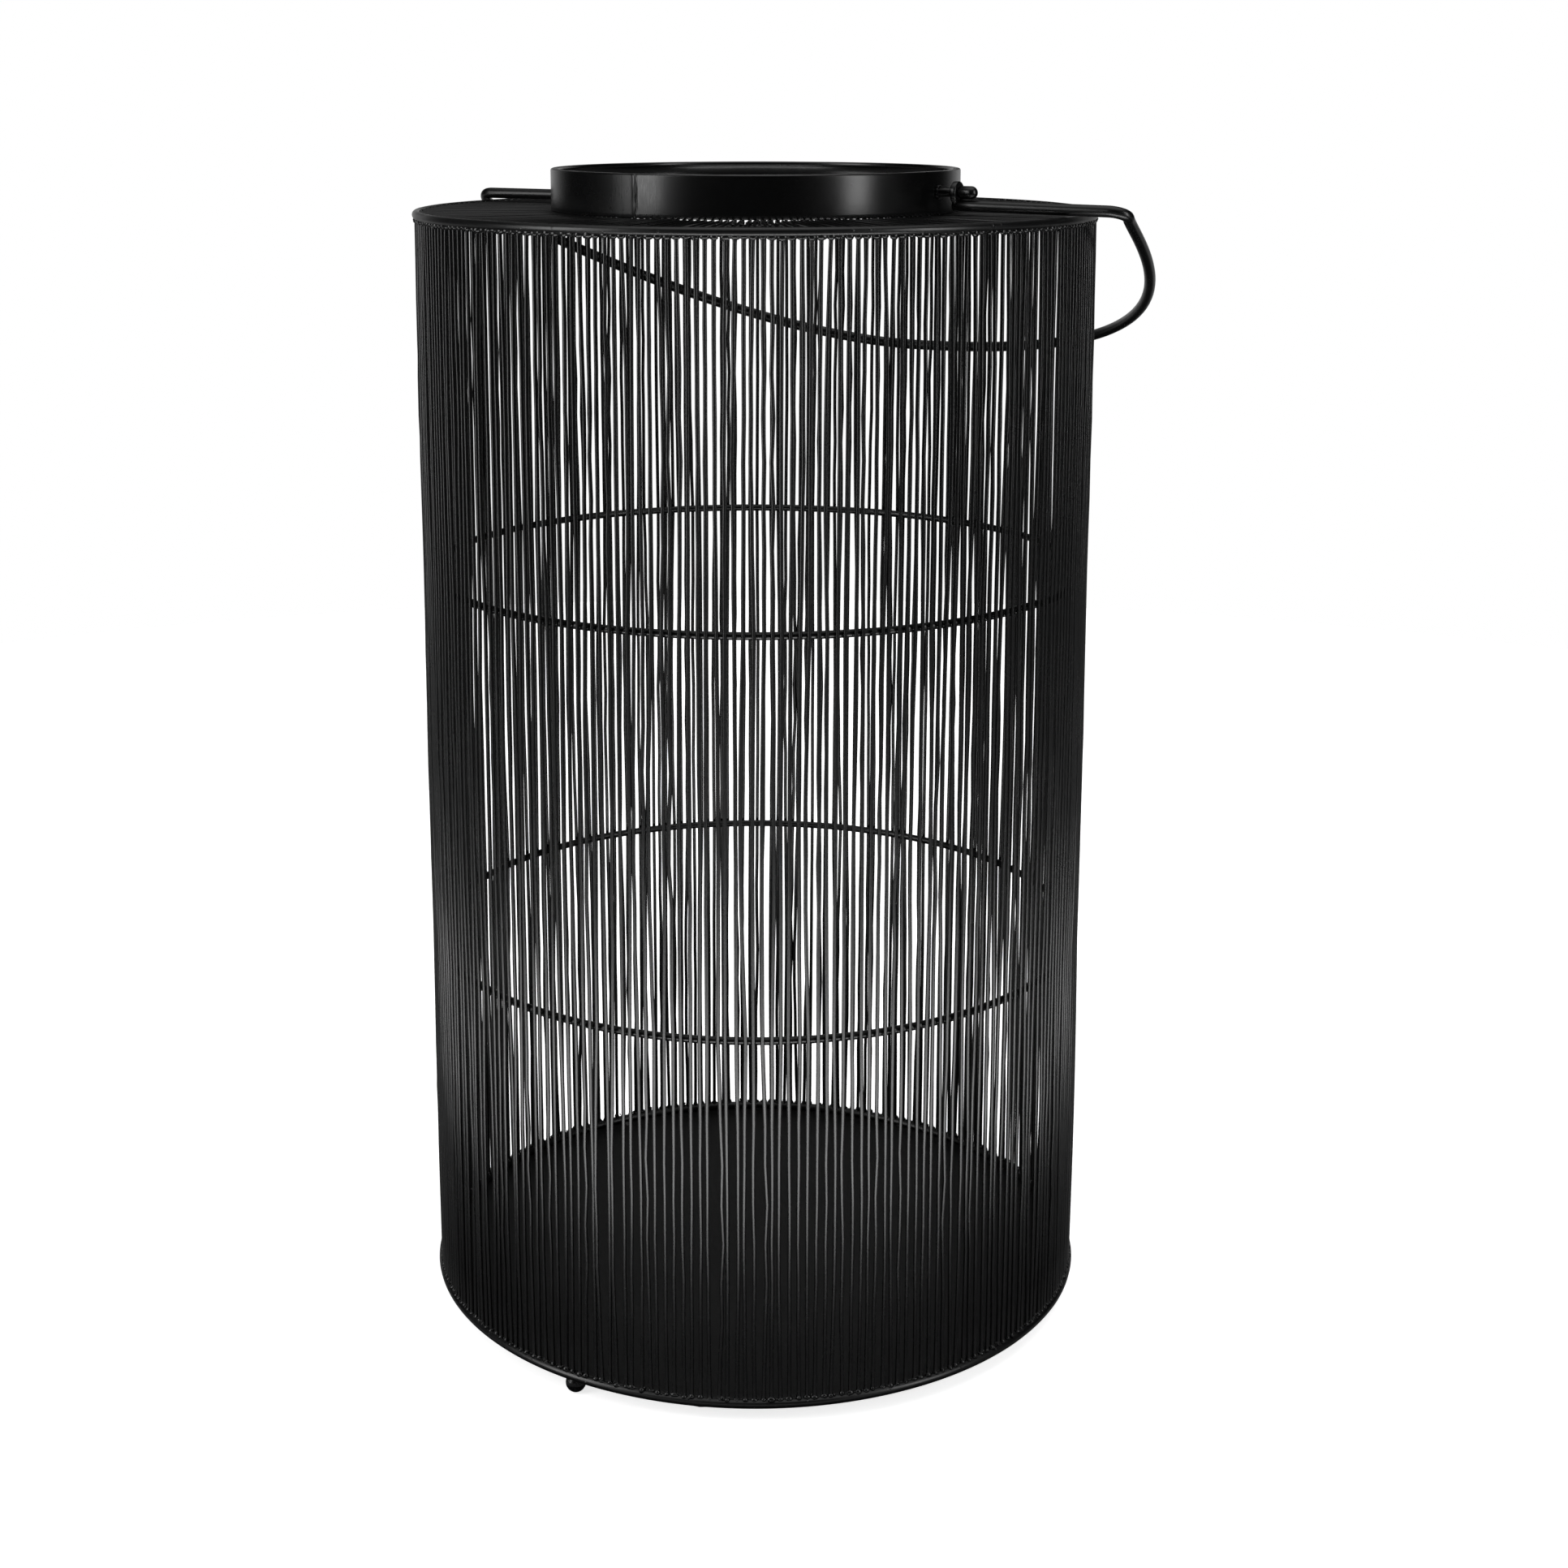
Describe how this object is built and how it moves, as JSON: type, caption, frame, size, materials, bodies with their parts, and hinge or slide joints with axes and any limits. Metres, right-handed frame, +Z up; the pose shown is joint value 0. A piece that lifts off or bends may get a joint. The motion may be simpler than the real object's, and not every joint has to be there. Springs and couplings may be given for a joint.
{
  "type": "candle lantern",
  "caption": "Tall round floor lantern for candles: close-set upright wires between two rings, spoke-like top wires, open sheet collar, flat base on ball feet, folding bail.",
  "frame": {"origin": "on the floor under the centre of the base plate, midway between the three feet", "axes": "+Z up; +X along the axis of the bail's two pins, towards the side where the bail reaches out further; the folded bail lies over +Y, and the collar's seam and the first foot are at -Y"},
  "size_m": [0.4435, 0.4334, 0.6926],
  "materials": {
    "ring": "satin black powder coat on round rod",
    "hoop": "satin black powder coat on round rod",
    "wire": "satin black powder coat on thin wire",
    "collar": "satin black powder coat on sheet",
    "plate": "satin black powder coat on sheet",
    "foot": "satin black powder coat",
    "pin": "satin black powder coat",
    "bail": "satin black powder coat on round rod"
  },
  "bodies": {
    "lantern": {"top_ring": "ring", "base_ring": "ring", "collar_ring": "ring", "upper_hoop": "hoop", "lower_hoop": "hoop", "wall_wires_01": "wire", "wall_wires_02": "wire", "wall_wires_03": "wire", "wall_wires_04": "wire", "wall_wires_05": "wire", "wall_wires_06": "wire", "wall_wires_07": "wire", "wall_wires_08": "wire", "wall_wires_09": "wire", "wall_wires_10": "wire", "wall_wires_11": "wire", "wall_wires_12": "wire", "top_wires_01": "wire", "top_wires_02": "wire", "top_wires_03": "wire", "top_wires_04": "wire", "top_wires_05": "wire", "top_wires_06": "wire", "top_wires_07": "wire", "top_wires_08": "wire", "top_wires_09": "wire", "top_wires_10": "wire", "top_wires_11": "wire", "top_wires_12": "wire", "collar": "collar", "base_plate": "plate", "ball_foot_1": "foot", "ball_foot_2": "foot", "ball_foot_3": "foot", "pivot_pin_right": "pin", "pivot_pin_left": "pin", "pin_cap_right": "pin", "pin_cap_left": "pin"},
    "bail": {"bail_handle": "bail"}
  },
  "joints": [
    {"name": "bail_swing", "type": "hinge", "parent": "lantern", "child": "bail", "pos_m": [0, 0, 0.6811], "axis": [1, 0, 0], "range_deg": [0, 235]}
  ]
}
